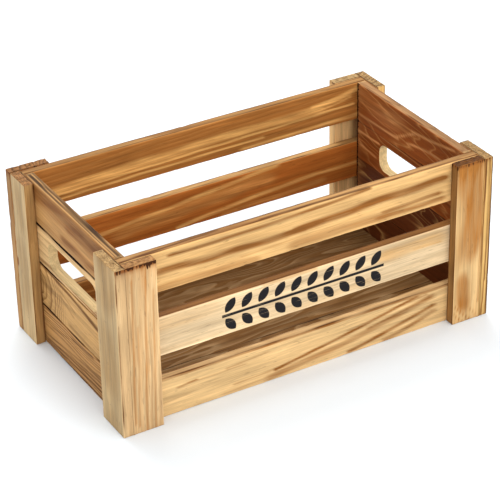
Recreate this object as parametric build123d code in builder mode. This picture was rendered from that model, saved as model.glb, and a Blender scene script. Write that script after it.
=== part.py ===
"""Wooden apple crate: slatted long sides, boarded ends with a hand hole, and paired corner cleats.

The crate stands on the XY plane with its origin at the bottom centre. X runs along its length,
the front is the -Y side and Z is up. All sizes are in millimetres.
"""

import os

from build123d import *

# Overall size
LENGTH = 350.0
WIDTH = 196.0
HEIGHT = 152.0

# Sawn stock
BOARD = 9.0
ARRIS = 0.6
CORNER_WIDTH = 36.0
SLAT_HEIGHT = 36.0
SLAT_COUNT = 3

# Tongued and grooved boards of the ends and the floor
END_SEAMS = (38.0, 78.5, 115.0)
FLOOR_COVER = 40.0
TONGUE_WIDTH = 3.0
TONGUE_LENGTH = 3.0
GROOVE_WIDTH = 3.2
GROOVE_DEPTH = 3.4
VEE = 0.8

# Hand hole through the second board from the top of each end
GRIP_LENGTH = 88.0
GRIP_HEIGHT = 25.5
GRIP_CENTRE = 95.0
GRIP_CORNER = 9.0
GRIP_ROUND = 0.7

# Brads and pins
SHANK_RADIUS = 0.6
HEAD_RADIUS = 1.1
HEAD_THICKNESS = 0.5
HEAD_SET = 0.2
BRAD_LENGTH = 14.5
PIN_LENGTH = 20.0
POINT_LENGTH = 1.2
POINT_TAPER = 20.0
NAIL_CLEARANCE = 0.02
BRAD_INSET = 22.0
SLAT_BRAD_SPACING = 18.0
FLOOR_PIN_SPACING = 104.0
SIDE_PIN_COUNT = 3

# Faces that the boards share, worked out from the sizes above
OUTER_X = LENGTH / 2
OUTER_Y = WIDTH / 2
WALL_X = OUTER_X - BOARD
WALL_Y = OUTER_Y - BOARD
INNER_X = WALL_X - BOARD
INNER_Y = WALL_Y - BOARD
SLAT_PITCH = (HEIGHT - SLAT_HEIGHT) / (SLAT_COUNT - 1)
FLOOR_BOARDS = round(2 * INNER_Y / FLOOR_COVER)
CLEAT_BRAD_X = WALL_X - (CORNER_WIDTH - BOARD) / 2

FRONT, BACK = -1, 1
LEFT, RIGHT = -1, 1
SIDES = {"front": FRONT, "back": BACK}
ENDS = {"left": LEFT, "right": RIGHT}
SLAT_LEVELS = {"bottom": 0, "middle": 1, "top": 2}

# Each end board: its lowest height, its cover width, and whether it has a groove below and a tongue above
END_BOARDS = {
    "bottom": (0.0, END_SEAMS[0], False, True),
    "lower": (END_SEAMS[0], END_SEAMS[1] - END_SEAMS[0], True, True),
    "upper": (END_SEAMS[1], END_SEAMS[2] - END_SEAMS[1], True, True),
    "top": (END_SEAMS[2], HEIGHT - END_SEAMS[2], True, False),
}


def save(builder, name):
    """Label a finished piece and write its STEP file."""
    builder.part.label = name
    export_step(builder.part, f"parts/{name}.step")


def end_brad_planes(side, end):
    """Heads of the brads through one end cleat, one for each end board."""
    heights = [low + cover / 2 for low, cover, _, _ in END_BOARDS.values()]
    return [
        Plane(origin=(end * OUTER_X, side * (OUTER_Y - BRAD_INSET), height), z_dir=(end, 0, 0))
        for height in heights
    ]


def slat_brad_planes(side, end, level):
    """Heads of the two brads through one end of a slat, driven outwards from inside the crate."""
    middle = level * SLAT_PITCH + SLAT_HEIGHT / 2
    heights = [middle - SLAT_BRAD_SPACING / 2, middle + SLAT_BRAD_SPACING / 2]
    return [
        Plane(origin=(end * CLEAT_BRAD_X, side * INNER_Y, height), z_dir=(0, -side, 0))
        for height in heights
    ]


def floor_board_middles():
    """Where the floor boards' centre lines lie across the crate."""
    return [FLOOR_COVER * (index + 0.5) - INNER_Y for index in range(FLOOR_BOARDS)]


def end_pin_planes(end):
    """Heads of the pins through one bottom end board, one into each floor board."""
    return [
        Plane(origin=(end * WALL_X, middle, BOARD / 2), z_dir=(end, 0, 0))
        for middle in floor_board_middles()
    ]


def side_pin_planes(side):
    """Heads of the pins through one bottom slat into the edge of the floor."""
    first = -(SIDE_PIN_COUNT - 1) / 2
    return [
        Plane(
            origin=((first + index) * FLOOR_PIN_SPACING, side * WALL_Y, BOARD / 2),
            z_dir=(0, side, 0),
        )
        for index in range(SIDE_PIN_COUNT)
    ]


def bore_for_heads(planes):
    """Bore through the board that the nail heads sit in."""
    with Locations(*planes):
        CounterBoreHole(
            radius=SHANK_RADIUS + NAIL_CLEARANCE,
            counter_bore_radius=HEAD_RADIUS + NAIL_CLEARANCE,
            counter_bore_depth=HEAD_SET + HEAD_THICKNESS + NAIL_CLEARANCE,
            depth=BOARD,
        )


def bore_for_points(planes, length):
    """Bore into the board behind, as deep as the nails' points reach."""
    with Locations(*[plane.offset(-BOARD) for plane in planes]):
        Hole(
            radius=SHANK_RADIUS + NAIL_CLEARANCE,
            depth=HEAD_SET + length - BOARD + NAIL_CLEARANCE,
        )


def nails(name, planes, length):
    """Group of nails with their heads set just below the wood, pointing into it."""
    with BuildPart() as group:
        for plane in planes:
            inward = -plane.offset(-HEAD_SET)
            with BuildSketch(inward):
                Circle(HEAD_RADIUS)
            extrude(amount=HEAD_THICKNESS)
            with BuildSketch(inward):
                Circle(SHANK_RADIUS)
            extrude(amount=length - POINT_LENGTH)
            with BuildSketch(inward.offset(length - POINT_LENGTH)):
                Circle(SHANK_RADIUS)
            extrude(amount=POINT_LENGTH, taper=POINT_TAPER)
    save(group, name)


def cleat(name, low_x, high_x, low_y, high_y, outer_planes, inner_planes):
    """Upright corner cleat between two X and two Y faces."""
    foot = Plane(origin=((low_x + high_x) / 2, (low_y + high_y) / 2, 0))
    with BuildPart() as upright:
        with BuildSketch(foot):
            Rectangle(high_x - low_x, high_y - low_y)
        extrude(amount=HEIGHT)
        fillet(upright.edges().filter_by(Axis.Z), ARRIS)
        if outer_planes:
            bore_for_heads(outer_planes)
        if inner_planes:
            bore_for_points(inner_planes, BRAD_LENGTH)
    save(upright, name)


def corner(side_name, end_name, end_cleat_laps):
    """Pair of cleats at one corner: the one that laps covers the other's edge."""
    side, end = SIDES[side_name], ENDS[end_name]
    end_reach = OUTER_Y if end_cleat_laps else WALL_Y
    side_reach = WALL_X if end_cleat_laps else OUTER_X
    end_x = sorted([end * WALL_X, end * OUTER_X])
    end_y = sorted([side * (OUTER_Y - CORNER_WIDTH), side * end_reach])
    side_x = sorted([end * (OUTER_X - CORNER_WIDTH), end * side_reach])
    side_y = sorted([side * WALL_Y, side * OUTER_Y])
    slat_planes = []
    for level in SLAT_LEVELS.values():
        slat_planes += slat_brad_planes(side, end, level)
    end_planes = end_brad_planes(side, end)
    cleat(f"end_cleat_{side_name}_{end_name}", *end_x, *end_y, end_planes, [])
    cleat(f"side_cleat_{side_name}_{end_name}", *side_x, *side_y, [], slat_planes)
    nails(f"end_cleat_brads_{side_name}_{end_name}", end_planes, BRAD_LENGTH)
    nails(f"slat_brads_{side_name}_{end_name}", slat_planes, BRAD_LENGTH)


def slat(side_name, level_name):
    """Long board of the front or the back, lying between the cleats and the end boards."""
    side, level = SIDES[side_name], SLAT_LEVELS[level_name]
    foot = Plane(origin=(0, side * (WALL_Y + INNER_Y) / 2, level * SLAT_PITCH))
    with BuildPart() as board:
        with BuildSketch(foot):
            Rectangle(2 * WALL_X, BOARD)
        extrude(amount=SLAT_HEIGHT)
        fillet(board.edges().filter_by(Axis.X), ARRIS)
        bore_for_heads(slat_brad_planes(side, LEFT, level) + slat_brad_planes(side, RIGHT, level))
        if level_name == "bottom":
            bore_for_heads(side_pin_planes(side))
    save(board, f"{side_name}_slat_{level_name}")


def matched_outline(cover, has_groove, has_tongue):
    """Section of a tongued and grooved board, from its vee-jointed face across its thickness."""
    tongue = [(BOARD + TONGUE_WIDTH) / 2, (BOARD - TONGUE_WIDTH) / 2]
    groove = [(BOARD - GROOVE_WIDTH) / 2, (BOARD + GROOVE_WIDTH) / 2]
    outline = [(0, VEE), (VEE, 0)] if has_groove else [(0, 0)]
    if has_groove:
        outline += [(groove[0], 0), (groove[0], GROOVE_DEPTH)]
        outline += [(groove[1], GROOVE_DEPTH), (groove[1], 0)]
    outline += [(BOARD, 0), (BOARD, cover)]
    if has_tongue:
        outline += [(tongue[0], cover), (tongue[0], cover + TONGUE_LENGTH)]
        outline += [(tongue[1], cover + TONGUE_LENGTH), (tongue[1], cover)]
    outline += [(VEE, cover), (0, cover - VEE)] if has_tongue else [(0, cover)]
    return outline


def end_board(end_name, board_name):
    """One board of an end wall, its vee joints facing out."""
    end = ENDS[end_name]
    low, cover, has_groove, has_tongue = END_BOARDS[board_name]
    run = Plane(origin=(end * WALL_X, -end * INNER_Y, low), x_dir=(-end, 0, 0), z_dir=(0, end, 0))
    with BuildPart() as board:
        with BuildSketch(run):
            with BuildLine():
                Polyline(*matched_outline(cover, has_groove, has_tongue), close=True)
            make_face()
        extrude(amount=2 * INNER_Y)
        if board_name == "upper":
            grip_face = Plane(origin=(end * WALL_X, 0, GRIP_CENTRE), z_dir=(end, 0, 0))
            with BuildSketch(grip_face):
                RectangleRounded(GRIP_LENGTH, GRIP_HEIGHT, GRIP_CORNER, rotation=90)
            extrude(amount=-BOARD, mode=Mode.SUBTRACT)
            rims = board.edges(Select.LAST).filter_by(GeomType.CIRCLE)
            fillet(rims, GRIP_ROUND)
        brads = end_brad_planes(FRONT, end) + end_brad_planes(BACK, end)
        bore_for_points([plane for plane in brads if low < plane.origin.Z < low + cover], BRAD_LENGTH)
        if board_name == "bottom":
            bore_for_heads(end_pin_planes(end))
    save(board, f"{end_name}_end_board_{board_name}")


def floor_board(index):
    """One floor board between the ends, its vee joints facing down."""
    low = index * FLOOR_COVER - INNER_Y
    run = Plane(origin=(INNER_X, low, 0), x_dir=(0, 0, 1), z_dir=(-1, 0, 0))
    is_first, is_last = index == 0, index == FLOOR_BOARDS - 1
    with BuildPart() as board:
        with BuildSketch(run):
            with BuildLine():
                Polyline(*matched_outline(FLOOR_COVER, not is_first, not is_last), close=True)
            make_face()
        extrude(amount=2 * INNER_X)
        pins = [end_pin_planes(LEFT)[index], end_pin_planes(RIGHT)[index]]
        if is_first:
            pins += side_pin_planes(FRONT)
        if is_last:
            pins += side_pin_planes(BACK)
        bore_for_points(pins, PIN_LENGTH)
    save(board, f"floor_board_{index + 1}")


os.makedirs("parts", exist_ok=True)

# The back cleat laps at the back left corner, and the end cleats lap at the other three
for side_label in SIDES:
    for end_label in ENDS:
        corner(side_label, end_label, (side_label, end_label) != ("back", "left"))
    for level_label in SLAT_LEVELS:
        slat(side_label, level_label)
    nails(f"floor_pins_{side_label}", side_pin_planes(SIDES[side_label]), PIN_LENGTH)

for end_label in ENDS:
    for board_label in END_BOARDS:
        end_board(end_label, board_label)
    nails(f"floor_pins_{end_label}", end_pin_planes(ENDS[end_label]), PIN_LENGTH)

for board_index in range(FLOOR_BOARDS):
    floor_board(board_index)
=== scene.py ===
"""The looks of the wooden apple crate: torched pine boards, brads, print, stage, lights, camera.

Each board stands in for its CAD node. It is swept along its grain and given the growth rings of
the log that it was sawn from, and then it is brushed, worn and scorched, and given painted light:
a painted highlight along its arrises, painted shadow lines on the cleats' tops and painted shade on
the right end's lower boards inside. Lengths are millimetres, and millimetres turn into Blender's
metres where a mesh is made.
"""

import math
from dataclasses import dataclass, field

import bpy
import numpy as np
from mathutils import Matrix, Vector


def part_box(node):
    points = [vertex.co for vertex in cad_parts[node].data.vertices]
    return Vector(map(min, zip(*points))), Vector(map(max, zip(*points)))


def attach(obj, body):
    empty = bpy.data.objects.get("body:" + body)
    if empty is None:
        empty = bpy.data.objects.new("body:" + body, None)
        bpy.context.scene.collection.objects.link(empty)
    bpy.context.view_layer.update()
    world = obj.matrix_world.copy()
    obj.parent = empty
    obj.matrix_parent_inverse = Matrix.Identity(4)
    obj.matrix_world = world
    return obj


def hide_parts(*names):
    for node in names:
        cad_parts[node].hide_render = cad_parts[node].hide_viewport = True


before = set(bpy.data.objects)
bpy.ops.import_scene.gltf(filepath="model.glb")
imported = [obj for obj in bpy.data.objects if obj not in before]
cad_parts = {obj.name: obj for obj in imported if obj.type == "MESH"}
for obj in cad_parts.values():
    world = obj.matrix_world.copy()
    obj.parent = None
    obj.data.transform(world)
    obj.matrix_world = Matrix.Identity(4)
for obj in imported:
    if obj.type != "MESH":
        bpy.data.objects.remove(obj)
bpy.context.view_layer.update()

MM = 0.001
BODY = "root"

# Joinery, as in the CAD part
TONGUE = 3.0
TONGUE_THICKNESS = 3.0
GROOVE = 3.4
GROOVE_WIDTH = 3.2
VEE = 0.8
GRIP_LENGTH = 88.0
GRIP_HEIGHT = 25.5
GRIP_CENTRE = 95.0
GRIP_CORNER = 9.0
GRIP_FLARE = 0.65
GRIP_FLARE_TURN = math.radians(68)

# How finely a board is meshed
FACE_STEP = 1.0
GRAIN_STEP = 3.2
ARC_STEPS = 4
CAP_RINGS = 9
GRIP_STEPS = 12
FLARE_STEPS = 4
CREASE = math.radians(42)

# How far a normal leans, as a range of its cosine, where a face or a stroke ends
FACE_TURN = (0.35, 0.85)
STROKE_TURN = (-0.2, 0.5)

# How a board is rounded and worn: depths and the widths that they reach over
SEAM_ARRIS = 0.1
END_ARRIS = 0.6
JOINT_GAP = 0.05
BRUSH_DEPTH = 0.10
PLANING_DEPTH = 0.05
ARRIS_WEAR = 0.22
ARRIS_WEAR_WIDTH = 1.4
END_WEAR = 0.45
END_WEAR_WIDTH = 1.6
NAIL_PAD = 2.6
PAD_DEPTH = 0.18

# How a board is scorched and outlined, with a painted shadow line on the cleats' tops and a painted
# highlight along its arrises: widths, and strengths from 0 to 1
ARRIS_CHAR_WIDTH = 1.2
JOINT_CHAR = 0.8
JOINT_CHAR_WIDTH = 1.6
MOST_CHAR = 1.7
FRINGE = 2.5
END_TOAST = 0.5
END_TOAST_REACH = 6
LINE_WIDTH = 1.1
# A painted shadow line along each cleat's top, at its back edge where it meets the boards
CLEAT_PAINTED_SHADOW = 0.7
CLEAT_PAINTED_SHADOW_WIDTH = 0.8
EDGE_LINE = 0.9
EDGE_LINE_WIDTH = 0.7
EDGE_LINE_INSET = 0.2
# A painted highlight: how much the wood tones are lightened along the rounded arrises
ARRIS_PAINTED_HIGHLIGHT = 0.34

# Lengths of the unevenness along the grain, across the width and through the thickness
ENDLESS = 1e3
PITH_SWAY = (170, 1, 1)
PITH_SHIVER = (55, 1, 1)
SWIRLS = (95, 16, 16)
RIPPLES = (14, 5, 5)
RING_PATCHES = (110, 26, 26)
CHAR_PATCHES = (40, 9, 9)
FRINGE_TEETH = (ENDLESS, 6, 6)
JOINT_PATCHES = (45, ENDLESS, ENDLESS)
STROKE_SWAY = (60, 1, 1)
STROKE_PATCHES = (45, 8, 8)
PLANING_WAVES = (60, 22, 22)
NICKS = (9, 30, 30)
TEARS = (60, 2.6, 2.6)


def rgb(code):
    """A colour written as six hexadecimal digits, as linear red, green and blue."""
    parts = np.array([int(code[i : i + 2], 16) / 255 for i in (0, 2, 4)])
    return np.where(parts <= 0.04045, parts / 12.92, ((parts + 0.055) / 1.055) ** 2.4)


def tones(codes):
    """The colours of a wood's earlywood and latewood."""
    return tuple(rgb(code) for code in codes.split())


# Wood tones
CREAM = tones("D1B68F BE9864")
GOLD = tones("C99A5C 9A6630")
WHEAT = tones("CFA56C A0733C")
STRAW = tones("D0AC78 AE8048")
HONEY = tones("D0A664 85531F")
STRIPED = tones("C8A77A A07040")
TAN = tones("A67A46 74481F")
DUSK = tones("86592C 5E3A18")
SAGE = tones("BFA276 AA8A5E")
MOSS = tones("CFA976 9C7443")
TOAST = tones("B78852 5A3414")
BROWN = tones("965E2A C68E4E")
RUST = tones("A35C25 C2843F")
UMBER = tones("87471B BA8048")
# A darker tone for the inside of the right end's two lower boards: it paints in shade over the lower
# inside
RAISIN_PAINTED_SHADE = tones("5C2F15 AC8450")
RUSSET = tones("B08552 80552A")
PLAIN = tones("D6BA88 C9A974")
SADDLE = tones("BE935C 6A4119")
LINED = tones("2C180B 5E3E1E")
WALNUT = tones("A47A50 5E3C20")
ASH = tones("75512A BEA074")
END_GRAIN = tones("B69565 7A5A34")
COPPER_GRAIN = tones("AE8252 6A4322")
PEACH = tones("EBC48A A9763F")
TANNED_GRAIN = tones("A68456 6A4A28")
TOASTED_GRAIN = tones("9A6C40 53341A")
BURNT_GRAIN = tones("44220B 261206")

# Stroke colours
CARAMEL = rgb("835121")
AMBER = rgb("DDA760")
COCOA = rgb("5A3414")


@dataclass
class Figure:
    """How one board was sawn from its log, and how its faces were torched, in millimetres.

    Four numbers are for the outer face, the inner face, the edges and the ends. A stroke or burn is
    its two ends, x, y and x, y, then its bend, its half width and its strength.
    """

    seed: int
    pith: tuple = (80.0, -12.0)  # the log's heart, across the width and out of the face
    drift: tuple = (0.0, 0.0)  # how much the pith moves for each millimetre along the grain
    ring: float = 4.0  # width of a growth ring
    wander: float = 1.2  # how far the pith sways
    crisp: float = 1.4  # more makes the latewood narrower
    outer: tuple = GOLD
    inner: tuple = BROWN
    edge: tuple = TAN
    end: tuple = END_GRAIN
    visible: tuple = (0.9, 0.9, 0.7, 1.0)  # how clearly the rings show
    swirl: float = 0.28  # how far the rings swirl, as a share of a ring
    soft: float = 0.0  # 1 makes the rings even waves
    fade: tuple = ()  # the outer face's rings come in from the first x to the second
    wall: bool = False  # rings run on from board to board of the wall
    arris_char: float = 0.15
    joint_char: tuple = (1.0, 1.0)  # at the groove, and at the tongue
    end_char: tuple = (0.2, 0.2)  # at the low end, and at the high end
    end_faces: tuple = (1.0, 0.6, 1.0, 0.12)  # how much of end_char each face takes
    end_line: tuple = (0.0, 0.0)  # dark lines across the ends of the inner face
    stroke: np.ndarray = field(default_factory=lambda: CARAMEL)
    strokes: list = field(default_factory=list)
    inner_strokes: list = field(default_factory=list)
    edge_stroke: np.ndarray = field(default_factory=lambda: COCOA)
    edge_strokes: list = field(default_factory=list)  # these have z in place of y
    burns: list = field(default_factory=list)


@dataclass
class Board:
    """A board: its CAD node, the ways its grain and its width run, its slot, looks and joints."""

    node: str
    along: str
    up: str
    slot: str
    figure: Figure
    groove: bool = False
    tongue: bool = False
    grip: bool = False
    printed: bool = False
    seams: tuple = ()  # corners of its section that stay sharp, where it meets another board
    arris: float = 1.3  # rounding of the others


AXES = {"x": Vector((1, 0, 0)), "y": Vector((0, 1, 0)), "z": Vector((0, 0, 1))}


def direction(name):
    """The unit vector that a name such as -x stands for."""
    return -AXES[name[1]] if name[0] == "-" else AXES[name]


class Place:
    """The frame of one board: along its grain, up its width and out of its face."""

    def __init__(self, board):
        low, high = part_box(board.node)
        along, up = direction(board.along), direction(board.up)
        self.axes = np.array([along, up, along.cross(up)])
        corners = np.array([low, high]) @ self.axes.T / MM
        self.low, self.high = corners.min(0), corners.max(0)
        if board.tongue:
            self.high[1] -= TONGUE
        self.middle = (self.low + self.high) / 2
        self.half = (self.high - self.low) / 2

    def to_world(self, points):
        """Points of the board's own millimetres, as the crate's metres."""
        return (points + self.middle) @ self.axes * MM

    def to_board(self, point):
        """A point in the crate's metres, as the board's own millimetres."""
        return self.axes @ np.array(point) / MM - self.middle


def waves(points, lengths, seed, count=8):
    """A smooth random field, mostly between -1 and 1, that varies over the given lengths."""
    rng = np.random.default_rng(seed)
    total = np.zeros(len(points))
    scaled = points / np.array(lengths)
    for _ in range(count):
        heading = rng.normal(size=3)
        heading *= rng.uniform(0.6, 1.4) / np.linalg.norm(heading)
        total += np.sin(math.tau * scaled @ heading + rng.uniform(0, math.tau))
    return total / math.sqrt(2 * count)


def smooth(low, high, value):
    """An even rise from 0 where the value is low to 1 where it is high."""
    share = np.clip((value - low) / (high - low), 0, 1)
    return share * share * (3 - 2 * share)


# ---- board meshes


CORNERS = {"low back": (-1, -1), "high back": (1, -1), "high face": (1, 1), "low face": (-1, 1)}


def section_corners(place, board):
    """Corners of a board's section: place across its width, place through it, and rounding."""
    gap = JOINT_GAP
    low, high, half = -place.half[1] + gap, place.half[1] - gap, place.half[2] - gap
    arris = {corner: SEAM_ARRIS if corner in board.seams else board.arris for corner in CORNERS}
    corners = [
        (low, -half, 0 if board.groove else arris["low back"]),
        (high, -half, 0 if board.tongue else arris["high back"]),
    ]
    if board.tongue:
        tongue = TONGUE_THICKNESS / 2 - gap / 2
        corners += [(high, -tongue, 0), (high + TONGUE - gap, -tongue, 0)]
        corners += [(high + TONGUE - gap, tongue, 0), (high, tongue, 0)]
        corners += [(high, half - VEE, 0), (high - VEE, half, 0)]
    else:
        corners += [(high, half, arris["high face"])]
    if board.groove:
        groove = GROOVE_WIDTH / 2
        corners += [(low + VEE, half, 0), (low, half - VEE, 0), (low, groove, 0)]
        corners += [(low + GROOVE, groove, 0), (low + GROOVE, -groove, 0), (low, -groove, 0)]
    else:
        corners += [(low, half, arris["low face"])]
    return corners


def rounded(corners, step):
    """Points round a closed outline, with its corners rounded and its sides divided."""
    count = len(corners)
    turns = []
    for i, (x, y, radius) in enumerate(corners):
        here = np.array((x, y))
        before = np.array(corners[i - 1][:2]) - here
        after = np.array(corners[(i + 1) % count][:2]) - here
        before, after = before / np.linalg.norm(before), after / np.linalg.norm(after)
        if radius == 0:
            turns.append([here])
            continue
        start, stop = here + before * radius, here + after * radius
        centre = start + after * radius
        arc = []
        for k in range(ARC_STEPS + 1):
            angle = math.pi / 2 * k / ARC_STEPS
            arc.append(centre + (start - centre) * math.cos(angle) + (stop - centre) * math.sin(angle))
        turns.append(arc)
    points = []
    for i, arc in enumerate(turns):
        points += arc
        start, stop = arc[-1], turns[(i + 1) % count][0]
        parts = max(1, round(np.linalg.norm(stop - start) / step))
        points += [start + (stop - start) * k / parts for k in range(1, parts)]
    return np.array(points)


def outward(outline):
    """Unit normals of a closed outline that runs counter-clockwise."""
    tangent = np.roll(outline, -1, 0) - np.roll(outline, 1, 0)
    normal = np.column_stack([tangent[:, 1], -tangent[:, 0]])
    return normal / np.linalg.norm(normal, axis=1)[:, None]


def ring_faces(first, second, size):
    """The faces between two rings of points, from where each ring starts."""
    nexts = [(j, (j + 1) % size) for j in range(size)]
    return [(first + j, first + k, second + k, second + j) for j, k in nexts]


def closed_mesh(name, points, faces):
    """A mesh of these points and faces, checked."""
    mesh = bpy.data.meshes.new(name)
    mesh.from_pydata([tuple(point) for point in points], [], faces)
    mesh.validate()
    return mesh


def in_scene(name, data):
    """A new object in the scene."""
    thing = bpy.data.objects.new(name, data)
    bpy.context.scene.collection.objects.link(thing)
    return thing


def swept_mesh(place, board):
    """The board as a plain solid with rounded arrises, before it is worn."""
    outline = rounded(section_corners(place, board), FACE_STEP)
    normals = outward(outline)
    half = place.half[0] - JOINT_GAP
    jointed = board.groove or board.tongue
    rounding = 0.0 if jointed else END_ARRIS
    steps = round(2 * (half - rounding) / GRAIN_STEP)
    stations = [(-half + rounding + k * 2 * (half - rounding) / steps, 0.0) for k in range(steps + 1)]
    if rounding:
        arc = [math.pi / 2 * k / ARC_STEPS for k in range(1, ARC_STEPS + 1)]
        ends = [(half - rounding + rounding * math.sin(a), rounding * (1 - math.cos(a))) for a in arc]
        stations = [(-x, inset) for x, inset in reversed(ends)] + stations + ends
    rings = [np.insert(outline - normals * inset, 0, x, axis=1) for x, inset in stations]
    faces = []
    size = len(outline)
    for i in range(len(rings) - 1):
        faces += ring_faces(i * size, (i + 1) * size, size)
    points = np.vstack(rings)
    if jointed:
        faces.append(tuple(reversed(range(size))))
        faces.append(tuple(range((len(rings) - 1) * size, len(rings) * size)))
    else:
        for end, last in ((-1, 0), (1, (len(rings) - 1) * size)):
            edge = points[last : last + size]
            previous = last
            for k in range(1, CAP_RINGS):
                share = 1 - k / CAP_RINGS
                start = len(points)
                points = np.vstack([points, edge * (1, share, share)])
                faces += ring_faces(*((previous, start) if end > 0 else (start, previous)), size)
                previous = start
            middle = len(points)
            points = np.vstack([points, [(edge[0][0], 0, 0)]])
            for j in range(size):
                pair = (previous + j, previous + (j + 1) % size)
                faces.append((*pair, middle) if end > 0 else (*reversed(pair), middle))
    return closed_mesh(board.node, points.tolist(), faces)


def grip_cutter(half_thickness, centre):
    """A bar with rounded corners, flared at both faces, so that its hole has rounded rims."""
    run, rise, flare = GRIP_LENGTH / 2 - GRIP_CORNER, GRIP_HEIGHT / 2 - GRIP_CORNER, GRIP_FLARE
    layers = []
    for k in range(FLARE_STEPS + 1):
        angle = GRIP_FLARE_TURN * k / FLARE_STEPS
        depth = half_thickness - flare + flare * math.sin(angle)
        layers.append((depth, GRIP_CORNER + flare * (1 - math.cos(angle))))
    slope = math.tan(GRIP_FLARE_TURN)
    layers.append((layers[-1][0] + 1, layers[-1][1] + slope))
    layers = [(-depth, size) for depth, size in reversed(layers)] + layers
    points, faces = [], []
    for depth, size in layers:
        for quarter, (east, north) in enumerate(((1, -1), (1, 1), (-1, 1), (-1, -1))):
            for k in range(GRIP_STEPS + 1):
                angle = math.pi / 2 * (quarter - 1 + k / GRIP_STEPS)
                x, y = east * run + size * math.cos(angle), north * rise + size * math.sin(angle)
                points.append((x, y + centre, depth))
    count = 4 * (GRIP_STEPS + 1)
    for i in range(len(layers) - 1):
        faces += ring_faces(i * count, (i + 1) * count, count)
    faces.append(tuple(reversed(range(count))))
    faces.append(tuple(range((len(layers) - 1) * count, len(layers) * count)))
    return closed_mesh("grip_cutter", points, faces)


def cut(mesh, cutter_mesh):
    """The mesh with the cutter's space taken out of it."""
    whole, cutter = in_scene("whole", mesh), in_scene("cutter", cutter_mesh)
    modifier = whole.modifiers.new("grip", "BOOLEAN")
    modifier.operation, modifier.solver, modifier.object = "DIFFERENCE", "EXACT", cutter
    bpy.context.view_layer.update()
    result = bpy.data.meshes.new_from_object(whole.evaluated_get(bpy.context.evaluated_depsgraph_get()))
    for thing, used in ((whole, mesh), (cutter, cutter_mesh)):
        bpy.data.objects.remove(thing)
        bpy.data.meshes.remove(used)
    return result


# ---- wood


def growth(points, figure):
    """Growth rings passed on the way from the pith, at each point of a board."""
    seed = figure.seed
    grain_only = points * (1, 0, 0)
    pith = np.array(figure.pith)[None, :] + points[:, :1] * np.array(figure.drift)[None, :]
    for k in (0, 1):
        sway = waves(grain_only, PITH_SWAY, seed + k)
        sway += 0.4 * waves(grain_only, PITH_SHIVER, seed + 2 + k)
        pith[:, k] += figure.wander * sway
    radius = np.hypot(points[:, 1] - pith[:, 0], points[:, 2] - pith[:, 1])
    radius = radius + figure.swirl * figure.ring * waves(points, SWIRLS, seed + 5)
    radius = radius + 0.06 * figure.ring * waves(points, RIPPLES, seed + 6)
    uneven = 0.9 * waves(np.column_stack([radius] * 3) * (1, 0, 0), (5.5 * figure.ring, 1, 1), seed + 7)
    return radius / figure.ring + uneven + 50


def brushed(points, strokes, seed):
    """How strongly strokes colour each point."""
    total = np.zeros(len(points))
    sway = waves(points * (1, 0, 0), STROKE_SWAY, seed)
    for x0, y0, x1, y1, bend, wide, strength in strokes:
        share = np.clip((points[:, 0] - x0) / (x1 - x0), 0, 1)
        course = y0 + (y1 - y0) * share + 4 * bend * share * (1 - share) + 0.3 * wide * sway
        beyond = np.maximum(np.maximum(x0 - points[:, 0], points[:, 0] - x1), 0)
        away = np.hypot(points[:, 1] - course, 0.5 * beyond)
        total = np.maximum(total, strength * np.exp(-((away / wide) ** 4)))
    return total * (0.88 + 0.2 * waves(points, STROKE_PATCHES, seed + 1))


def tone(weights, woods, part):
    """Colour at each point, blended from a board's four woods by how much each face counts there."""
    return sum(weight[:, None] * wood[part][None, :] for weight, wood in zip(weights, woods))


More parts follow.
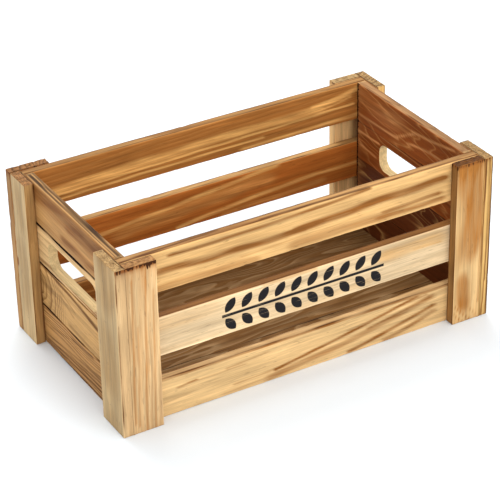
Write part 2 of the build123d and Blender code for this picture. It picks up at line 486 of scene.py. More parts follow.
def dress(mesh, place, board, nails):
    """Wears the board's surface and gives it the attributes that its material reads."""
    figure = board.figure
    count = len(mesh.vertices)
    points, normals = np.empty(count * 3), np.empty(count * 3)
    mesh.vertices.foreach_get("co", points)
    mesh.vertices.foreach_get("normal", normals)
    points, normals = points.reshape(-1, 3), normals.reshape(-1, 3)
    half = place.half

    rings = growth(points + (0, place.middle[1] if figure.wall else 0, 0), figure)
    arrises = [corner for name, corner in CORNERS.items() if name not in board.seams]
    to_arris = [np.linalg.norm(half[1:] - points[:, 1:] * arris, axis=1) for arris in arrises]
    to_arris = np.min(to_arris, 0)
    to_low, to_high = points[:, 0] + half[0], half[0] - points[:, 0]

    outer = smooth(*FACE_TURN, normals[:, 2])
    inner = smooth(*FACE_TURN, -normals[:, 2])
    end = smooth(*FACE_TURN, np.abs(normals[:, 0]))
    if board.grip:
        end = end * (np.abs(points[:, 0]) > half[0] - 1)
    if board.groove or board.tongue:
        inner = np.maximum(inner, points[:, 2] < 0.2 - half[2])
        outer, end = outer * (1 - inner), end * (1 - inner)
    edge = np.clip(1 - outer - inner - end, 0, 1)
    total = outer + inner + end + edge
    weights = [w / total for w in (outer, inner, edge, end)]
    woods = (figure.outer, figure.inner, figure.edge, figure.end)

    visible = sum(weight * share for weight, share in zip(weights, figure.visible))
    visible = visible * (0.8 + 0.35 * waves(points, RING_PATCHES, figure.seed + 10))
    if figure.fade:
        visible = visible * (1 - weights[0] * (1 - smooth(*figure.fade, points[:, 0])))

    ragged = 0.65 + 0.5 * waves(points, CHAR_PATCHES, figure.seed + 11)
    char = figure.arris_char * ragged * np.exp(-((to_arris / ARRIS_CHAR_WIDTH) ** 2))
    above, below = smooth(*STROKE_TURN, normals[:, 2]), smooth(*STROKE_TURN, -normals[:, 2])
    toast = brushed(points, figure.strokes, figure.seed + 20) * above
    toast += brushed(points, figure.inner_strokes, figure.seed + 30) * below
    toast += brushed(points[:, (0, 2, 1)], figure.edge_strokes, figure.seed + 50) * weights[2]
    past_arris = to_arris - board.arris - EDGE_LINE_INSET
    toast += EDGE_LINE * ragged * weights[2] * np.exp(-((past_arris / EDGE_LINE_WIDTH) ** 2))
    burnt_faces = sum(weight * share for weight, share in zip(weights, figure.end_faces))
    dark_line_and_painted_shadow = np.zeros(count)
    for distance, strength in zip((to_low, to_high), figure.end_line):
        dark_line_and_painted_shadow = np.maximum(dark_line_and_painted_shadow, strength * weights[1] * np.exp(-((distance / LINE_WIDTH) ** 4)))
    # Painted shadow: a dark line along the cleat's top, at the back edge where it meets the boards
    if board.slot == "cleat_wood":
        off_joint = points[:, 2] + half[2] - board.arris
        dark_line_and_painted_shadow = CLEAT_PAINTED_SHADOW * weights[3] * np.exp(-((off_joint / CLEAT_PAINTED_SHADOW_WIDTH) ** 2))
    for distance, strength in zip((to_low, to_high), figure.end_char):
        fringe = np.exp(-distance / FRINGE) * (1 + 0.25 * waves(points, FRINGE_TEETH, figure.seed + 12))
        char += strength * burnt_faces * fringe
        toast += END_TOAST * strength * burnt_faces * np.exp(-distance / END_TOAST_REACH)
    for jointed, side, strength in zip((board.groove, board.tongue), (-1, 1), figure.joint_char):
        if jointed:
            to_joint = np.maximum(half[1] - points[:, 1] * side, 0)
            uneven = 0.85 + 0.3 * waves(points, JOINT_PATCHES, figure.seed + 17)
            scorch = JOINT_CHAR * strength * uneven * np.exp(-((to_joint / JOINT_CHAR_WIDTH) ** 2))
            char += scorch * (normals[:, 2] > 0.1)
            dark_line_and_painted_shadow = np.maximum(dark_line_and_painted_shadow, strength * uneven * np.exp(-((to_joint / LINE_WIDTH) ** 4)))
    char += brushed(points, figure.burns, figure.seed + 40) * above
    toast = np.clip(toast, 0, 1)
    char = np.clip(char, 0, MOST_CHAR)

    ridge = 0.5 - 0.5 * np.cos(math.tau * rings)
    depth = BRUSH_DEPTH * ridge * (1 - end)
    depth += PLANING_DEPTH * (0.5 + 0.5 * waves(points, PLANING_WAVES, figure.seed + 14))
    nick = np.clip(waves(points, NICKS, figure.seed + 15), 0, 1.5) ** 2
    depth += ARRIS_WEAR * np.exp(-((to_arris / ARRIS_WEAR_WIDTH) ** 2)) * nick
    tear = np.clip(waves(points, TEARS, figure.seed + 16), 0, 1.5)
    to_end = np.minimum(to_low, to_high)
    scorched_end = np.minimum(np.where(to_low < to_high, *figure.end_char), 1)
    depth += END_WEAR * scorched_end * np.exp(-((to_end / END_WEAR_WIDTH) ** 2)) * tear
    for nail in nails:
        near = np.exp(-((np.linalg.norm(points - nail, axis=1) / NAIL_PAD) ** 4))
        depth = depth * (1 - near) + PAD_DEPTH * near
    worn = points - normals * np.maximum(depth, 0)[:, None]
    worn = np.clip(worn, points.min(0), points.max(0))  # a sharp corner's normals may lean outwards

    rng = np.random.default_rng(figure.seed)
    grain = (points + rng.uniform(-4000, 4000, 3).round()) * MM
    # Painted highlight: the wood tones are lightened along the rounded arrises
    painted_highlight = 1 + ARRIS_PAINTED_HIGHLIGHT * np.exp(-((to_arris / board.arris) ** 2))[:, None]
    floats = {
        "rings": rings,
        "char": char,
        "toast": toast,
        "dark_line_and_painted_shadow": dark_line_and_painted_shadow,
        "end_face": weights[3],
        "visible": np.clip(visible, 0, 1),
        "crisp": np.full(count, figure.crisp),
        "soft": np.full(count, figure.soft),
    }
    vectors = {
        "grain": grain,
        "early": tone(weights, woods, 0) * painted_highlight,
        "late": tone(weights, woods, 1) * painted_highlight,
        "stroke": figure.stroke + (figure.edge_stroke - figure.stroke) * weights[2][:, None],
    }
    if board.printed:
        vectors["print_place"] = np.column_stack([points[:, 0], points[:, 1], outer]) * (MM, MM, 1)
    for name, values in floats.items():
        attribute = mesh.attributes.new(name, "FLOAT", "POINT")
        attribute.data.foreach_set("value", values.astype(np.float32))
    for name, values in vectors.items():
        attribute = mesh.attributes.new(name, "FLOAT_VECTOR", "POINT")
        attribute.data.foreach_set("vector", values.astype(np.float32).ravel())
    mesh.vertices.foreach_set("co", place.to_world(worn).astype(np.float32).ravel())
    mesh.shade_smooth()
    mesh.set_sharp_from_angle(angle=CREASE)
    mesh.update()


# ---- materials


class Nodes:
    """A short way to write a material's node tree."""

    def __init__(self, name):
        self.material = bpy.data.materials.new(name)
        self.material.use_nodes = True
        self.tree = self.material.node_tree
        self.shader = self.tree.nodes["Principled BSDF"]

    def add(self, kind):
        return self.tree.nodes.new("ShaderNode" + kind)

    def put(self, target, value):
        if isinstance(value, bpy.types.NodeSocket):
            self.tree.links.new(value, target)
        else:
            target.default_value = value

    def attribute(self, name, output="Fac"):
        node = self.add("Attribute")
        node.attribute_name = name
        return node.outputs[output]

    def math(self, operation, *values):
        node = self.add("Math")
        node.operation = operation
        for socket, value in zip(node.inputs, values):
            self.put(socket, value)
        return node.outputs[0]

    def product(self, *factors):
        total = factors[0]
        for factor in factors[1:]:
            total = self.math("MULTIPLY", total, factor)
        return total

    def scaled(self, vector, factors):
        node = self.add("VectorMath")
        node.operation = "MULTIPLY"
        self.put(node.inputs[0], vector)
        node.inputs[1].default_value = factors
        return node.outputs[0]

    def times(self, colour, factor):
        node = self.add("VectorMath")
        node.operation = "SCALE"
        self.put(node.inputs[0], colour)
        self.put(node.inputs["Scale"], factor)
        return node.outputs[0]

    def noise(self, vector, detail=2.0, roughness=0.5):
        node = self.add("TexNoise")
        self.put(node.inputs["Vector"], vector)
        node.inputs["Scale"].default_value = 1.0
        node.inputs["Detail"].default_value = detail
        node.inputs["Roughness"].default_value = roughness
        node.inputs["Distortion"].default_value = 0.0
        return node.outputs["Fac"]

    def span(self, value, low, high, to_low=0.0, to_high=1.0, how="LINEAR"):
        node = self.add("MapRange")
        node.interpolation_type = how
        names = ("Value", "From Min", "From Max", "To Min", "To Max")
        for name, number in zip(names, (value, low, high, to_low, to_high)):
            self.put(node.inputs[name], number)
        return node.outputs["Result"]

    def ease(self, *values):
        return self.span(*values, how="SMOOTHSTEP")

    def ramp(self, value, stops):
        """A grey ramp. Its first two stops are the lowest and the highest."""
        node = self.add("ValToRGB")
        elements = node.color_ramp.elements
        for (place, level), element in zip(stops, [elements[0], elements[1]]):
            element.position, element.color = place, (level, level, level, 1)
        for place, level in stops[2:]:
            elements.new(place).color = (level, level, level, 1)
        self.put(node.inputs["Fac"], value)
        return node.outputs["Color"]

    def mix(self, factor, first, second):
        node = self.add("Mix")
        node.data_type = "RGBA"
        for name, value in (("Factor", factor), ("A", first), ("B", second)):
            socket = next(s for s in node.inputs if s.name == name and s.enabled)
            self.put(socket, value)
        return next(s for s in node.outputs if s.enabled)


CHAR_COLOUR = (*rgb("3A1E0C"), 1)
# Near-black: the dark lines at joints and ends, and the painted shadow lines on the cleat tops
DARK_LINE_AND_PAINTED_SHADOW_COLOUR = (*rgb("1C0D05"), 1)
SCORCH_COLOUR = (*rgb("7A441A"), 1)
INK_COLOUR = (*rgb("1D1B1C"), 1)

# Noise in the wood, in waves to the metre along the grain, across the width and through the thickness
FIBRE = (38, 1250, 1250)
TOOTH = (26, 430, 430)
STREAK = (6.5, 210, 210)
CLOUD = (11, 34, 34)
FLECK = (110, 760, 760)
SPECKLE = (60, 330, 1500)
BITE = (18, 640, 640)

# Across one ring: place from the pith outwards, and how much latewood
LATEWOOD = [(0.0, 0.0), (0.98, 0.75), (0.35, 0.06), (0.62, 0.28), (0.80, 0.78), (0.91, 1.0)]
RING_WOBBLE = 0.16
BITE_DEPTH = 3.2
BURN_EDGE = (0.7, 1.0)
DARK_LINE_AND_SHADOW_EDGE = (0.25, 0.85)
WOOD_SPECULAR = 0.07
BUMP_STRENGTH = 0.5
BUMP_DISTANCE = 0.22


def wood_material(name, roughness, printed=False):
    """Torched and brushed pine, with its rings, tones, scorching, dark joint lines, painted shadow
    lines and painted arris highlights read from the attributes.
    """
    n = Nodes(name)
    grain = n.attribute("grain", "Vector")
    fibre = n.noise(n.scaled(grain, FIBRE), detail=3, roughness=0.62)
    tooth = n.noise(n.scaled(grain, TOOTH), detail=2, roughness=0.6)
    streak = n.noise(n.scaled(grain, STREAK), detail=3, roughness=0.55)
    cloud = n.noise(n.scaled(grain, CLOUD))
    fleck = n.noise(n.scaled(grain, FLECK), detail=1, roughness=0.4)

    wobble = n.product(n.math("SUBTRACT", tooth, 0.5), RING_WOBBLE)
    turn = n.math("FRACT", n.math("ADD", n.attribute("rings"), wobble))
    band = n.ramp(turn, LATEWOOD)
    wave = n.product(n.math("COSINE", n.product(turn, math.tau)), 0.5)
    wave = n.math("SUBTRACT", 0.5, wave)
    band = n.span(n.attribute("soft"), 0.0, 1.0, band, wave)
    band = n.product(n.math("POWER", band, n.attribute("crisp")), n.attribute("visible"))

    wood = n.mix(band, n.attribute("early", "Color"), n.attribute("late", "Color"))
    toast = n.product(n.attribute("toast"), n.span(tooth, 0.3, 0.7, 0.75, 1.25))
    wood = n.mix(n.span(toast, 0.0, 0.85), wood, n.attribute("stroke", "Color"))
    speckle = n.ease(n.noise(n.scaled(grain, SPECKLE), detail=1), 0.34, 0.64, 0.64, 1.2)
    shade = n.product(
        n.span(streak, 0.25, 0.75, 0.78, 1.22),
        n.span(fibre, 0.2, 0.8, 0.78, 1.22),
        n.span(tooth, 0.25, 0.75, 0.86, 1.13),
        n.span(n.attribute("end_face"), 0.0, 1.0, 1.0, speckle),
        n.span(cloud, 0.25, 0.75, 0.86, 1.12),
        n.ease(fleck, 0.68, 0.76, 1.0, 0.74),
    )
    wood = n.times(wood, shade)

    char = n.attribute("char")
    scorch = n.product(char, n.span(tooth, 0.3, 0.7, 0.55, 1.25))
    wood = n.mix(n.ease(scorch, 0.02, 0.75, 0.0, 0.9), wood, SCORCH_COLOUR)
    bite = n.math("SUBTRACT", n.noise(n.scaled(grain, BITE), detail=0), 0.5)
    bite = n.product(bite, n.span(char, 0.0, 0.35, 0.0, BITE_DEPTH))
    burn = n.ease(n.math("ADD", char, bite), *BURN_EDGE)
    wood = n.mix(burn, wood, CHAR_COLOUR)
    # Near-black lines at the joints and ends, and the painted shadow lines on the cleat tops
    wood = n.mix(n.ease(n.attribute("dark_line_and_painted_shadow"), *DARK_LINE_AND_SHADOW_EDGE), wood, DARK_LINE_AND_PAINTED_SHADOW_COLOUR)

    rough = n.math("ADD", roughness, n.product(fibre, 0.16))
    rough = n.math("ADD", rough, n.product(burn, 0.2))
    if printed:
        ink = n.product(sprig_mask(n), n.ease(fibre, 0.28, 0.36, 0.55, 1.0))
        wood = n.mix(ink, wood, INK_COLOUR)
        rough = n.math("ADD", rough, n.product(ink, 0.08))
    n.put(n.shader.inputs["Base Color"], wood)
    n.put(n.shader.inputs["Roughness"], rough)
    n.shader.inputs["Specular IOR Level"].default_value = WOOD_SPECULAR

    height = n.math("ADD", n.product(fibre, 0.8), n.product(band, 0.5))
    height = n.math("SUBTRACT", height, n.product(burn, 0.4))
    bump = n.add("Bump")
    bump.inputs["Strength"].default_value = BUMP_STRENGTH
    bump.inputs["Distance"].default_value = BUMP_DISTANCE * MM
    n.put(bump.inputs["Height"], height)
    n.put(n.shader.inputs["Normal"], bump.outputs["Normal"])
    return n.material


# The printed sprig, in millimetres from the slat's middle. A leaf is what two discs have in common
SPRIG_START = -79.0
SPRIG_END = 74.0
LEAF_PITCH = 15.3
LEAF_REACH = 14.6
LEAF_ROUND = 8.6
LEAF_GAP = 1.4
LEAF_LEAN = math.radians(52)
STEM_HALF = 1.25
PRINT_BLUR = 0.15
STEM_END_BLUR = 0.2


def sprig_mask(n):
    """1 where the sprig is printed: a stem, and leaves mirrored about it at an even pitch."""
    split = n.add("SeparateXYZ")
    n.put(split.inputs[0], n.attribute("print_place", "Vector"))
    along, across, face = split.outputs
    along = n.product(along, 1 / MM)
    across = n.math("ABSOLUTE", n.product(across, 1 / MM))
    local = n.math("FLOORED_MODULO", n.math("SUBTRACT", along, SPRIG_START), LEAF_PITCH)
    local = n.math("SUBTRACT", local, LEAF_PITCH / 2)
    leaf = None
    middle = LEAF_GAP + LEAF_REACH / 2
    back = math.sqrt(LEAF_ROUND**2 - (LEAF_REACH / 2) ** 2)
    for side in (1, -1):
        east = n.math("SUBTRACT", local, side * back * math.sin(LEAF_LEAN))
        north = n.math("SUBTRACT", across, middle - side * back * math.cos(LEAF_LEAN))
        squares = [n.product(part, part) for part in (east, north)]
        away = n.math("SQRT", n.math("ADD", *squares))
        inside = n.span(away, LEAF_ROUND - PRINT_BLUR, LEAF_ROUND + PRINT_BLUR, 1.0, 0.0)
        leaf = inside if leaf is None else n.math("MINIMUM", leaf, inside)
    stem = n.span(across, STEM_HALF - PRINT_BLUR, STEM_HALF + PRINT_BLUR, 1.0, 0.0)
    return n.product(
        n.math("MAXIMUM", leaf, stem),
        n.ease(along, SPRIG_START - STEM_END_BLUR, SPRIG_START + STEM_END_BLUR),
        n.ease(along, SPRIG_END - STEM_END_BLUR, SPRIG_END + STEM_END_BLUR, 1.0, 0.0),
        n.ease(face, 0.4, 0.6),
    )


STAIN = 900  # waves to the metre


def steel_material(name, bright, stained, metallic):
    """Wire steel for the brads and pins, as bright or as browned by the torch as its colours are."""
    n = Nodes(name)
    place = n.add("TexCoord").outputs["Object"]
    stain = n.noise(n.scaled(place, (STAIN, STAIN, STAIN)), detail=2)
    colour = n.mix(n.ease(stain, 0.4, 0.65), (*rgb(bright), 1), (*rgb(stained), 1))
    n.put(n.shader.inputs["Base Color"], colour)
    n.put(n.shader.inputs["Roughness"], n.span(stain, 0.3, 0.7, 0.35, 0.6))
    n.shader.inputs["Metallic"].default_value = metallic
    return n.material


MATERIALS = {
    "cleat_wood": wood_material("torched_pine_cleats", 0.44),
    "slat_wood": wood_material("torched_pine_slats", 0.42),
    "end_board_wood": wood_material("torched_pine_ends", 0.46),
    "floor_wood": wood_material("torched_pine_floor", 0.5),
    "printed": wood_material("torched_pine_printed_slat", 0.42, printed=True),
    "brad_steel": steel_material("brad_steel_dull", "6A5A4A", "3A2A1E", 0.7),
    "toasted_steel": steel_material("brad_steel_toasted", "8A5A2C", "5E3A1A", 0.1),
    "waxed_steel": steel_material("brad_steel_waxed", "C09A66", "9A7240", 0.0),
}


def show(mesh, name, node, material):
    """Shows a mesh in place of a CAD node."""
    mesh.materials.clear()
    mesh.materials.append(material)
    piece = in_scene(name, mesh)
    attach(piece, BODY)
    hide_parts(node)


# ---- brads

BRAD_SHANK = 0.6
BRAD_HEAD = 1.1
BRAD_HEAD_THICKNESS = 0.5
BRAD_NECK = 0.8
BRAD_POINT = 1.6
BRAD_SIDES = 16
BRAD_CREASE = math.radians(50)
GRIPPING_RINGS = 4


def brad_profile(length):
    """Radius and depth below the head's top: a dished head, gripping rings and a point."""
    profile = [(0.0, 0.06), (BRAD_HEAD * 0.55, 0.04), (BRAD_HEAD * 0.86, 0.0), (BRAD_HEAD, 0.12)]
    profile += [(BRAD_HEAD * 0.96, BRAD_HEAD_THICKNESS * 0.7), (BRAD_SHANK * 1.15, BRAD_HEAD_THICKNESS)]
    profile += [(BRAD_SHANK, BRAD_NECK)]
    for k in range(GRIPPING_RINGS):
        depth = 1.2 + 0.5 * k
        profile += [(BRAD_SHANK, depth), (BRAD_SHANK * 0.86, depth + 0.15), (BRAD_SHANK, depth + 0.3)]
    profile += [(BRAD_SHANK, length - BRAD_POINT), (BRAD_SHANK * 0.55, length - 0.5), (0.0, length)]
    return profile


def brads_mesh(name, heads, inward, length):
    """One mesh of a node's brads: heads are the middles of their tops, inward is the way they go in."""
    inward = Vector(inward)
    across = inward.orthogonal().normalized()
    over = inward.cross(across)
    points, faces = [], []
    profile = brad_profile(length)
    for head in heads:
        first = len(points)
        for radius, depth in profile[1:-1]:
            for k in range(BRAD_SIDES):
                angle = math.tau * k / BRAD_SIDES
                spoke = across * math.cos(angle) + over * math.sin(angle)
                points.append(Vector(head) + (inward * depth + spoke * radius) * MM)
        top, tip = len(points), len(points) + 1
        points += [Vector(head) + inward * depth * MM for depth in (profile[0][1], profile[-1][1])]
        last = top - BRAD_SIDES
        for start in range(first, last, BRAD_SIDES):
            faces += ring_faces(start, start + BRAD_SIDES, BRAD_SIDES)
        for k in range(BRAD_SIDES):
            after = (k + 1) % BRAD_SIDES
            faces += [(first + after, first + k, top), (last + k, last + after, tip)]
    mesh = closed_mesh(name, points, faces)
    mesh.shade_smooth()
    mesh.set_sharp_from_angle(angle=BRAD_CREASE)
    return mesh


def brad_heads(node, inward):
    """Middles of the tops of a node's heads, and its brads' length, read from the CAD mesh."""
    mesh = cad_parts[node].data
    points = np.array([v.co for v in mesh.vertices])
    axis = int(np.argmax(np.abs(inward)))
    depth = points[:, axis] * inward[axis]
    top = points[depth < depth.min() + 0.01 * MM]
    heads = []
    for point in top:
        for group in heads:
            if np.linalg.norm(group[0] - point) < 3 * BRAD_HEAD * MM:
                group.append(point)
                break
        else:
            heads.append([point])
    middles = [(np.min(g, 0) + np.max(g, 0)) / 2 for g in heads]
    return middles, (depth.max() - depth.min()) / MM


# ---- the crate's boards

CLEAT = dict(slot="cleat_wood", along="z", arris=0.6)
SLAT = dict(slot="slat_wood", up="z")
END = dict(slot="end_board_wood", up="z")
FLOOR = dict(slot="floor_wood", along="-x", up="y", arris=0.6)
FLOOR_FIGURE = dict(
    outer=TAN, inner=ASH, ring=8, wander=5, swirl=0.9, soft=0.3, crisp=2.4,
    visible=(0.7, 0.95, 0.6, 1), joint_char=(0.8, 0.8))
RIGHT_END = dict(
    seed=41, wall=True, pith=(30, 22), drift=(0.3, 0.06), ring=12, wander=6, swirl=0.5, crisp=5,
    visible=(0.7, 0.8, 0.5, 1), end_char=(0.5, 0.7), end_line=(0, 1),
    end_faces=(0.2, 1, 0.3, 0.2), joint_char=(0.7, 0.7), stroke=rgb("C48A54"))

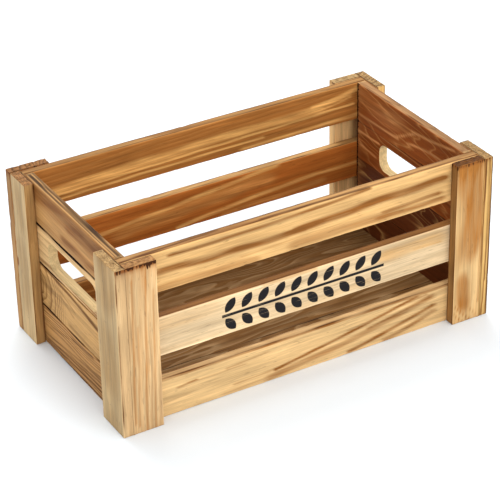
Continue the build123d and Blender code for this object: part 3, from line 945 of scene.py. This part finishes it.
BOARDS = [
    # Corner cleats: side cleats face front and back, end cleats face left and right
    Board("side_cleat_front_left", up="-x", seams=("high face",), **CLEAT, figure=Figure(
        11, pith=(85, -14), drift=(-0.035, 0), ring=5, wander=0.4, soft=0.5,
        visible=(0.8, 0.5, 0.7, 0.8), outer=STRIPED, edge=STRIPED, end=COPPER_GRAIN,
        end_char=(0.15, 1.6), stroke=rgb("A87440"),
        strokes=[
            (-76, 1.5, 76, -4, 0.3, 0.9, 0.7), (-66, 11.5, 64, 8.5, 0, 0.9, 0.75),
            (-70, 8, 20, 5, 0, 0.8, 0.55), (-76, -6, 50, -9.5, 0, 0.8, 0.55),
            (-20, -2, 76, -1, 0, 1.4, 0.3)])),
    Board("end_cleat_front_left", up="y", seams=("low back",), **CLEAT, figure=Figure(
        12, pith=(-60, -25), ring=9, wander=1, soft=0.5, visible=(0.3, 0.5, 0.6, 0.8), outer=SAGE,
        inner=TOAST, edge=STRIPED, end_char=(0.15, 1.3), end_faces=(0.12, 0.3, 1, 0.1),
        stroke=rgb("8E6838"),
        strokes=[
            (-19, 0, -5, 2, 0, 15, 0.45), (54, -2, 74, 0, 0, 14, 0.5), (-70, 0, -74, 1, 0, 9, 0.3)])),
    Board("side_cleat_front_right", up="-x", seams=("low face",), **CLEAT, figure=Figure(
        13, pith=(-75, -22), drift=(0, 0.02), ring=9, wander=1.4, soft=0.6,
        visible=(0.5, 0.5, 0.8, 0.6), outer=STRAW, end=BURNT_GRAIN, end_char=(0.2, 0.8),
        stroke=rgb("A0672C"),
        strokes=[
            (-54, 3, -40, 2, 0, 6.5, 0.95), (18, -1, 76, -1, 0, 17, 0.8), (-4, -4, 70, -5, 0, 8, 0.7),
            (70, 0, 76, 0, 0, 14, 0.9), (-60, -12.6, 72, -12.6, 0, 0.9, 0.6),
            (-76, -4, -60, 11, 0, 0.8, 0.8), (-76, 3, -67, 12, 0, 0.8, 0.7),
            (-72, -10, -58, 2, 0, 0.7, 0.5)])),
    Board("end_cleat_front_right", up="-y", seams=("high back",), **CLEAT, figure=Figure(
        14, pith=(70, -30), ring=2.6, outer=SAGE, inner=TOAST, edge=HONEY,
        visible=(0.4, 0.5, 1, 0.8), end=TANNED_GRAIN, end_char=(0.2, 0.6),
        end_faces=(0.1, 0.3, 0.9, 0.1),
        edge_strokes=[
            (-76, 3.6, 76, 3.6, 0, 0.8, 1), (-76, -3.2, 76, -2.8, 0, 0.7, 0.9),
            (-40, 0.6, 76, 0.2, 0, 0.6, 0.6)])),
    Board("side_cleat_back_left", up="x", **CLEAT, figure=Figure(
        15, pith=(66, -18), ring=4.4, edge=RUSSET, end=TOASTED_GRAIN, end_char=(0.2, 1))),
    Board("end_cleat_back_left", up="y", **CLEAT, figure=Figure(
        16, pith=(75, -30), ring=8, soft=0.5, visible=(0.4, 0.5, 0.7, 0.8), outer=SAGE, edge=SADDLE,
        end=TOASTED_GRAIN, end_char=(0.2, 0.6), end_faces=(0.1, 0.3, 0.4, 0.1), stroke=rgb("8E6838"),
        strokes=[
            (-34, -2, 4, 0, 0, 9, 0.35), (40, -3, 60, 2, 0, 7, 0.3), (30, 12, 76, 13, 0, 1.6, 0.8)],
        burns=[(-8, 12, -5, 12, 0, 1.6, 1.3), (44, 13, 48, 13, 0, 1.2, 0.8)])),
    Board("side_cleat_back_right", up="x", seams=("low face",), **CLEAT, figure=Figure(
        17, pith=(-80, -10), ring=6, soft=0.5, visible=(0.7, 0.25, 0.4, 0.8), inner=PEACH, edge=PEACH,
        end_char=(0.2, 0.5),
        inner_strokes=[(4, 8, 40, 10, 0, 6, 0.4)])),
    Board("end_cleat_back_right", up="-y", seams=("low back",), **CLEAT, figure=Figure(
        18, pith=(-66, -22), ring=4.8, outer=SAGE, edge=HONEY, end=TANNED_GRAIN, end_char=(0.2, 0.3),
        end_faces=(0.3, 0.3, 0.3, 0.1))),
    # Slats
    Board("front_slat_top", along="x", **SLAT, figure=Figure(
        21, pith=(-110, -20), drift=(0.035, 0), ring=9, wander=1.5, soft=1,
        visible=(0.22, 0.8, 0.8, 1), outer=WHEAT, inner=TOAST, edge=RUSSET,
        edge_strokes=[
            (-166, 3, -80, -1, -0.5, 1.2, 0.8), (-40, 1.5, 150, 2, 0, 0.8, 0.7),
            (-110, -3.6, 0, -3.6, 0, 0.7, 0.6)],
        strokes=[
            (-122, 12, 58, 17, -1.6, 1.6, 0.85), (-131, 0.5, -2, -1, -0.8, 3, 0.95),
            (-8, -0.5, 130, 5, 0.6, 3.5, 1), (-136, -15, -50, -15, 1, 3.8, 0.5),
            (-10, -13, 74, -13.5, 1.5, 4.2, 0.5), (74, -9, 127, -7, 0.4, 1.9, 0.8),
            (68, -13, 130, -13, 0, 2.2, 0.7), (-60, -9, 30, -7, 0.5, 0.9, 0.25)])),
    Board("front_slat_middle", along="x", **SLAT, printed=True, figure=Figure(
        22, pith=(-70, -30), drift=(0.02, 0), ring=9, wander=2, soft=0.4,
        visible=(0.3, 0.8, 0.8, 1), outer=CREAM, inner=TOAST, edge=DUSK, stroke=rgb("B58A52"),
        strokes=[
            (78, 8, 124, 10, 0, 7, 0.6), (104, 5, 130, 4.5, 0, 1, 0.7),
            (-136, 9, -90, 12, 0, 6, 0.3), (-40, 17, 8, 17, 0, 1.2, 0.6),
            (-10, -14, 60, -12, 0, 3, 0.2), (-136, -13, -80, -15, 0, 2, 0.2)])),
    Board("front_slat_bottom", along="x", **SLAT, figure=Figure(
        23, pith=(-34, -14), drift=(0.13, 0), ring=6, wander=1.5, soft=0.5, fade=(-110, 60),
        visible=(0.35, 0.8, 0.8, 1), outer=STRAW, inner=TOAST, edge=MOSS,
        strokes=[
            (-30, -8.5, 108, 16, -0.8, 1.5, 0.95), (-36, -14.5, 121, 11, -2.4, 3, 0.6),
            (60, 0.5, 121, 11, 0, 1.3, 0.8), (42, -15, 124, 2, -0.8, 1.9, 0.85),
            (78, -16, 124, -4, -0.8, 2.3, 0.65), (-142, 17.2, 142, 17.2, 0, 0.9, 0.75),
            (40, 5.5, 118, 15, 0, 0.9, 0.5), (-120, 6, -105, 7.5, 0, 1, 0.7),
            (-105, 6.5, -60, 6.5, 0, 0.8, 0.35), (-76, 8, -38, 11, 0, 0.8, 0.45),
            (-70, -9.5, -22, -7.5, 0, 0.8, 0.4), (-138, -5, -112, -3, 0, 0.8, 0.3),
            (-80, -15, -36, -14, 0, 1.2, 0.4)])),
    Board("back_slat_top", along="-x", **SLAT, figure=Figure(
        24, pith=(-70, 26), drift=(-0.05, 0.02), ring=3.2, wander=1, soft=0.3,
        visible=(0.8, 0.4, 0.8, 1), stroke=AMBER,
        inner_strokes=[
            (-116, 3, 166, -5, 0.8, 3.8, 0.7), (-158, 13, -112, 5, -1.6, 2.6, 0.85),
            (-152, -1.5, 150, -9, 0, 1.1, 1), (-60, -9.5, 150, -13, 0, 1.1, 0.8),
            (-160, -13, -40, -15.5, 0, 1.8, 0.65), (-150, 6, -115, 1, -1, 1.1, 0.7)])),
    Board("back_slat_middle", along="-x", **SLAT, figure=Figure(
        25, pith=(52, 30), drift=(-0.09, 0), ring=7, wander=2.4, soft=0.6,
        visible=(0.8, 0.25, 0.6, 1), inner=RUST, edge=SADDLE, stroke=AMBER,
        inner_strokes=[
            (-72, 17, 100, 0, -0.5, 1.9, 0.8), (-60, 6, 80, -4, 0, 6, 0.3),
            (-112, -3, 25, -15.5, 1, 1.8, 0.8), (-160, -3.5, -112, -3, 0, 1.6, 0.55),
            (-120, -11, -20, -16, 0, 2.5, 0.25)])),
    Board("back_slat_bottom", along="-x", **SLAT, figure=Figure(
        26, pith=(-40, -26), drift=(0.04, 0), ring=6, stroke=AMBER)),
    # End boards, left and right, from the bottom up
    Board("left_end_board_bottom", along="-y", tongue=True, **END, figure=Figure(
        31, pith=(-34, -20), drift=(0.10, -0.10), ring=2.7, crisp=1, outer=TOAST,
        joint_char=(1, 0.75), end_char=(0.4, 0.4), stroke=COCOA,
        strokes=[
            (-57, -16, 45, -10, 0.6, 1.1, 0.9), (-57, -13.5, 45, -6, 1, 1, 0.8),
            (-40, -11, 45, -2, 1, 0.9, 0.7), (-50, -8, 45, 1, 1.5, 0.9, 0.5),
            (-50, -18.2, 48, -16.5, 0, 1.2, 0.95), (-8, 13, 28, 15.5, 0, 1.1, 0.75),
            (-52, 2, -15, 10, 0, 0.9, 0.4)])),
    Board("left_end_board_lower", along="-y", groove=True, tongue=True, **END, figure=Figure(
        32, pith=(-1, -75), drift=(0, -1.2), ring=6, wander=0.8, fade=(-14, -30), crisp=1,
        outer=SADDLE, joint_char=(0.75, 0.6), visible=(1, 0.9, 0.7, 1), end_char=(0.4, 0.4),
        stroke=rgb("6E4820"),
        strokes=[
            (-60, 19, -26, 17.5, 0, 1.4, 1), (-30, 17, 46, 8.5, 1.6, 1.7, 0.95),
            (10, 14.5, 46, 9.5, 0, 2.4, 0.8), (-54, 4, -48, 3, 0, 6, 0.5),
            (-26, 6, -4, -2, 0, 1.2, 0.4), (-24, 10, 0, 4, 0, 1, 0.4),
            (-10, -15, 46, -17, 0, 2, 0.35)])),
    Board("left_end_board_upper", along="-y", groove=True, tongue=True, grip=True, **END, figure=Figure(
        33, pith=(-50, -34), ring=5, visible=(0.55, 0.8, 0.15, 1), outer=MOSS, edge=PLAIN,
        joint_char=(0.5, 1), end_char=(0.4, 0.4),
        strokes=[
            (0, -15, 46, -16, 0, 1, 0.7), (4, -12.7, 46, -13.5, 0, 0.9, 0.6),
            (10, -10.6, 46, -10.8, 0, 0.9, 0.5), (-60, -15, -20, -13, 1, 1.8, 0.6)])),
    Board("left_end_board_top", along="-y", groove=True, **END, figure=Figure(
        34, pith=(40, -34), drift=(-0.10, 0), ring=2.6, soft=0.1, visible=(0.15, 0.8, 1, 1),
        outer=TOAST, edge=LINED, edge_stroke=rgb("B68A56"), arris_char=0.3, end_char=(0.4, 0.4),
        stroke=rgb("805026"),
        edge_strokes=[(-80, -1.2, 80, 0.8, 0.8, 0.5, 1), (-80, 3, 80, 3.3, 0, 0.4, 1)],
        strokes=[
            (-62, 12, 62, 11, 0, 9, 0.8), (0, 6, 60, 10, 0, 5, 0.9),
            (-10, -9.5, 50, -8.5, 0, 4, 0.7), (-60, -12, 50, -14, 0, 2, 0.3)])),
    # The two lower boards take a darker inner tone than the upper ones: painted shade over the lower
    # part of the inside
    Board("right_end_board_bottom", along="y", tongue=True, **END, figure=Figure(
        outer=TAN, inner=RAISIN_PAINTED_SHADE, **RIGHT_END)),
    Board("right_end_board_lower", along="y", groove=True, tongue=True, **END, figure=Figure(
        outer=TAN, inner=RAISIN_PAINTED_SHADE, **RIGHT_END)),
    Board("right_end_board_upper", along="y", groove=True, tongue=True, grip=True, **END, figure=Figure(
        outer=MOSS, inner=UMBER, edge=PLAIN, **RIGHT_END,
        inner_strokes=[
            (46, 9.5, 80, 8.5, 0, 1.2, 1), (14, 18, 40, 18.5, 0, 1.2, 1),
            (50, -6, 72, -4, 0, 1.2, 0.8), (68, -4, 80, 1, 0, 1.2, 0.9)])),
    Board("right_end_board_top", along="y", groove=True, **END, figure=Figure(
        outer=TOAST, inner=UMBER, edge=WALNUT, arris_char=0.4, **RIGHT_END,
        inner_strokes=[
            (16, -9.5, 80, -11.5, 0, 1.3, 0.8), (-8, 5, 18, -9, 0, 1.3, 0.8),
            (-66, 15, -6, 6.5, -1, 1.3, 0.8), (-50, -2.5, 0, -8, 2, 1.2, 0.7),
            (22, 4, 74, 4, 0, 9, 0.3)])),
    # Floor, from the front to the back
    Board("floor_board_1", tongue=True, **FLOOR, figure=Figure(
        51, pith=(12, 22), **FLOOR_FIGURE)),
    Board("floor_board_2", groove=True, tongue=True, **FLOOR, figure=Figure(
        52, pith=(30, 22), **FLOOR_FIGURE)),
    Board("floor_board_3", groove=True, tongue=True, **FLOOR, figure=Figure(
        53, pith=(-8, 26), **FLOOR_FIGURE)),
    Board("floor_board_4", groove=True, **FLOOR, figure=Figure(
        54, pith=(-30, 20), **FLOOR_FIGURE)),
]

INWARD = {"left": (1, 0, 0), "right": (-1, 0, 0), "front": (0, 1, 0), "back": (0, -1, 0)}


def driven(node):
    """The way a node's brads were driven: slat brads go outward from inside the crate."""
    words = node.split("_")
    if node.startswith("slat_brads"):
        return tuple(-c for c in INWARD[words[2]])
    return INWARD[words[-1]]


brad_nodes = [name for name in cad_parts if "_brads_" in name or "_pins_" in name]
all_heads = []
for node in brad_nodes:
    inward = driven(node)
    heads, length = brad_heads(node, inward)
    all_heads += heads
    if node.startswith("slat_brads"):
        finish = "toasted_steel"
    else:
        finish = "waxed_steel" if "_pins_" in node else "brad_steel"
    mesh = brads_mesh(node, heads, inward, length)
    show(mesh, f"steel_{node}", node, MATERIALS[finish])

for board in BOARDS:
    place = Place(board)
    mesh = swept_mesh(place, board)
    if board.grip:
        mesh = cut(mesh, grip_cutter(place.half[2] - JOINT_GAP, GRIP_CENTRE - place.middle[1]))
    nails = [place.to_board(head) for head in all_heads]
    nails = [nail for nail in nails if (np.abs(nail) < place.half + 1).all()]
    dress(mesh, place, board, nails)
    material = MATERIALS["printed" if board.printed else board.slot]
    show(mesh, f"pine_{board.node}", board.node, material)

# ---- stage, lights and camera

FLOOR_SIZE = 8.0
FLOOR_COLOUR = (0.81, 0.86, 0.90, 1)
WORLD_STRENGTH = 1.05

# The camera as it stood for the photograph, in degrees, metres and, for the lens, millimetres
CAMERA_AZIMUTH = -29.78
CAMERA_ELEVATION = 30.15
CAMERA_DISTANCE = 1.7088
CAMERA_ROLL = -1.22
CAMERA_LENS = 146.7
CAMERA_SENSOR = 36
CAMERA_AIM = Vector((-0.0026, -0.0020, 0.0708))


def stage_floor():
    """A plain pale floor under the crate."""
    mesh = bpy.data.meshes.new("stage_floor")
    edge = FLOOR_SIZE / 2
    corners = [(-edge, -edge, 0), (edge, -edge, 0), (edge, edge, 0), (-edge, edge, 0)]
    mesh.from_pydata(corners, [], [(0, 1, 2, 3)])
    material = bpy.data.materials.new("pale_floor")
    material.use_nodes = True
    shader = material.node_tree.nodes["Principled BSDF"]
    shader.inputs["Base Color"].default_value = FLOOR_COLOUR
    shader.inputs["Roughness"].default_value = 0.9
    shader.inputs["Specular IOR Level"].default_value = 0.1
    mesh.materials.append(material)
    in_scene("stage_floor", mesh)


def seen_from(azimuth, elevation):
    """The way from the crate to a place azimuth degrees to the right of its front, and so far up."""
    a, e = math.radians(azimuth), math.radians(elevation)
    return Vector((math.sin(a) * math.cos(e), -math.cos(a) * math.cos(e), math.sin(e)))


def softbox(name, azimuth, elevation, distance, size, power):
    """A square area light that looks at the crate."""
    light = bpy.data.lights.new(name, "AREA")
    light.shape, light.size, light.energy = "SQUARE", size, power
    lamp = in_scene(name, light)
    away = seen_from(azimuth, elevation)
    lamp.location = away * distance
    lamp.rotation_euler = away.to_track_quat("Z", "Y").to_euler()


stage_floor()
softbox("overhead", azimuth=172, elevation=58, distance=2.6, size=1.6, power=33)
softbox("key", azimuth=8, elevation=25, distance=2.6, size=1.8, power=31)

scene = bpy.context.scene
world = bpy.data.worlds.new("studio")
world.use_nodes = True
background = world.node_tree.nodes["Background"]
background.inputs["Color"].default_value = (1, 1, 1, 1)
background.inputs["Strength"].default_value = WORLD_STRENGTH
scene.world = world
scene.view_settings.view_transform = "Standard"

camera = in_scene("camera", bpy.data.cameras.new("camera"))
back = seen_from(CAMERA_AZIMUTH, CAMERA_ELEVATION)
turned = back.to_track_quat("Z", "Y").to_matrix().to_4x4()
turned = turned @ Matrix.Rotation(math.radians(CAMERA_ROLL), 4, "Z")
camera.matrix_world = Matrix.Translation(CAMERA_AIM + back * CAMERA_DISTANCE) @ turned
camera.data.lens = CAMERA_LENS
camera.data.sensor_width = CAMERA_SENSOR
scene.camera = camera
